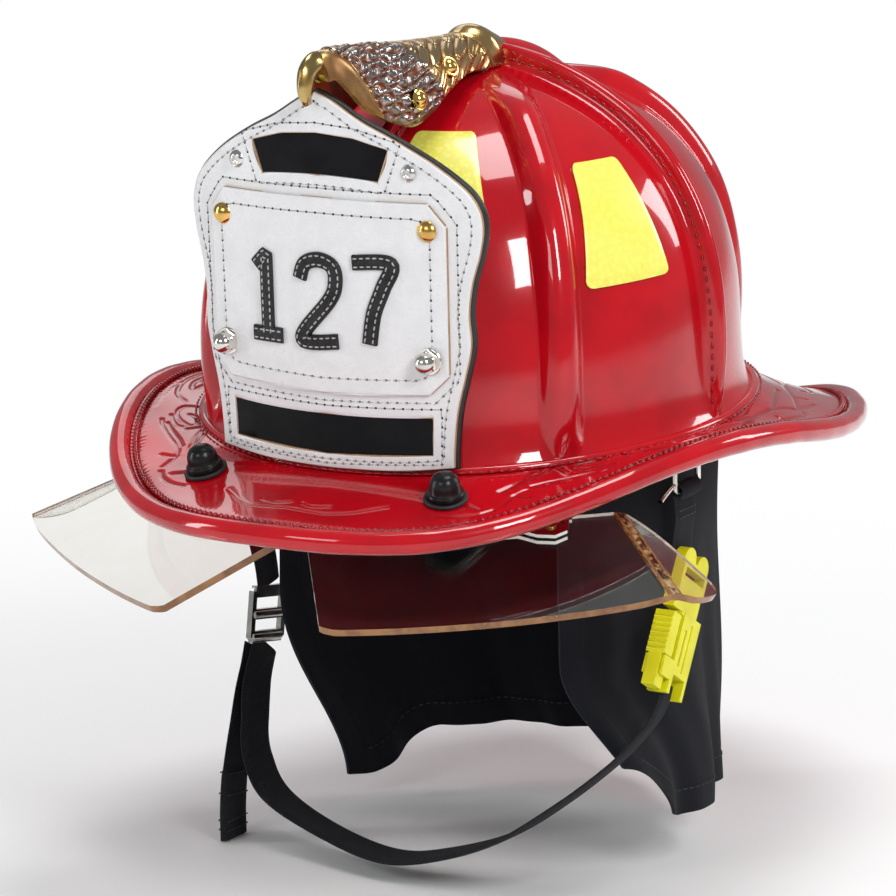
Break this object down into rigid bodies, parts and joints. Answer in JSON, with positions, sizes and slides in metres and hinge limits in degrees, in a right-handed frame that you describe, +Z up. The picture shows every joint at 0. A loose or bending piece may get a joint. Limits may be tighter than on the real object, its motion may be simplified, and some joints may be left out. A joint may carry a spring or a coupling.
{
  "type": "leather fire helmet",
  "caption": "Leather fire helmet with combed crown, wide brim, brass eagle, front shield, hinged eye shields, ear curtain and chin strap.",
  "frame": {"origin": "centre of the head seat, level with the foot of the crown", "axes": "+Z up, -Y to the front, +X to the wearer's left"},
  "size_m": [0.3066, 0.4065, 0.351],
  "materials": {
    "red_leather": "deep red leather under thick gloss lacquer",
    "edge_wire": "plain steel wire",
    "black_leather": "black leather with raw tan cut edges",
    "white_leather": "white grained leather",
    "window": "black gloss insert",
    "brass": "aged cast brass",
    "nickel": "bright nickel plate",
    "steel": "brushed stainless steel",
    "lens": "clear polycarbonate, edges glow amber",
    "reflective": "fluorescent yellow-green reflective film",
    "rubber": "black rubber",
    "black_plastic": "black gloss plastic",
    "cap": "dark grey moulded plastic",
    "foam": "foam liner with a dark skin",
    "webbing": "black woven webbing",
    "pad": "soft padded cloth",
    "curtain": "black flame-proof cloth",
    "yellow_plastic": "yellow moulded plastic"
  },
  "bodies": {
    "shell": {"crown_panel_front_left": "red_leather", "crown_panel_front_right": "red_leather", "crown_panel_rear_left": "red_leather", "crown_panel_rear_right": "red_leather", "brim": "red_leather", "brim_edge_roll": "red_leather", "brim_wire": "edge_wire", "shield_backing": "black_leather", "shield_face": "white_leather", "top_window": "window", "bottom_window": "window", "centre_patch": "white_leather", "brass_studs": "brass", "acorn_nuts": "nickel", "shield_screws": "nickel", "eagle_holder": "brass", "eagle_screws": "nickel", "reflective_trim": "reflective", "inner_cap": "cap", "impact_liner": "foam", "crown_straps": "webbing", "strap_anchors": "cap", "headband": "cap", "brow_pad": "pad", "nape_pad": "pad", "ratchet_housing": "cap", "ear_curtain": "curtain", "curtain_strip": "webbing", "hinge_pins": "steel", "shield_brackets": "steel", "stud_washers": "rubber", "stud_caps": "black_plastic", "strap_bails": "steel", "upper_strap_left": "webbing", "upper_strap_right": "webbing", "buckle_tongue": "yellow_plastic", "chin_strap": "webbing", "strap_tail": "webbing", "postman_slide": "steel"},
    "left_eye_shield": {"lens_left": "lens", "lens_clamp_left": "steel", "clamp_screws_left": "brass"},
    "right_eye_shield": {"lens_right": "lens", "lens_clamp_right": "steel", "clamp_screws_right": "brass"},
    "knob": {"ratchet_knob": "cap", "ratchet_pinion": "steel"},
    "left_tail": {"band_tail_left": "cap"},
    "right_tail": {"band_tail_right": "cap"},
    "buckle": {"buckle_body": "yellow_plastic"},
    "lever": {"buckle_lever": "yellow_plastic"}
  },
  "joints": [
    {"name": "left_eye_shield_hinge", "type": "hinge", "parent": "shell", "child": "left_eye_shield", "pos_m": [0.0009, -0.1441, -0.0234], "axis": [0.8258, 0.5612, 0.0558], "range_deg": [-12, 60]},
    {"name": "right_eye_shield_hinge", "type": "hinge", "parent": "shell", "child": "right_eye_shield", "pos_m": [-0.0009, -0.1441, -0.0234], "axis": [0.8258, -0.5612, -0.0558], "range_deg": [-12, 60]},
    {"name": "ratchet_knob_turn", "type": "hinge", "parent": "shell", "child": "knob", "pos_m": [0, 0.09, -0.023], "axis": [0, 1, 0], "range_deg": [-99, 99]},
    {"name": "left_tail_slide", "type": "hinge", "parent": "shell", "child": "left_tail", "pos_m": [0, 0.008, -0.023], "axis": [0, 0, 1], "range_deg": [-6, 6]},
    {"name": "right_tail_slide", "type": "hinge", "parent": "shell", "child": "right_tail", "pos_m": [0, 0.008, -0.023], "axis": [0, 0, 1], "range_deg": [-6, 6]},
    {"name": "buckle_release", "type": "slide", "parent": "shell", "child": "buckle", "axis": [0, -0.5195, -0.8545], "range_m": [0, 0.02], "deforming": ["chin_strap"]},
    {"name": "buckle_lever_press", "type": "hinge", "parent": "buckle", "child": "lever", "pos_m": [0.106, -0.04721, -0.0903], "axis": [-1, 0, 0], "range_deg": [0, 5.5], "stiffness_Nm_per_rad": 0.5}
  ],
  "couplings": [
    {"joint": "left_tail_slide", "follows": "ratchet_knob_turn", "ratio": -0.060459},
    {"joint": "right_tail_slide", "follows": "ratchet_knob_turn", "ratio": 0.060459}
  ]
}
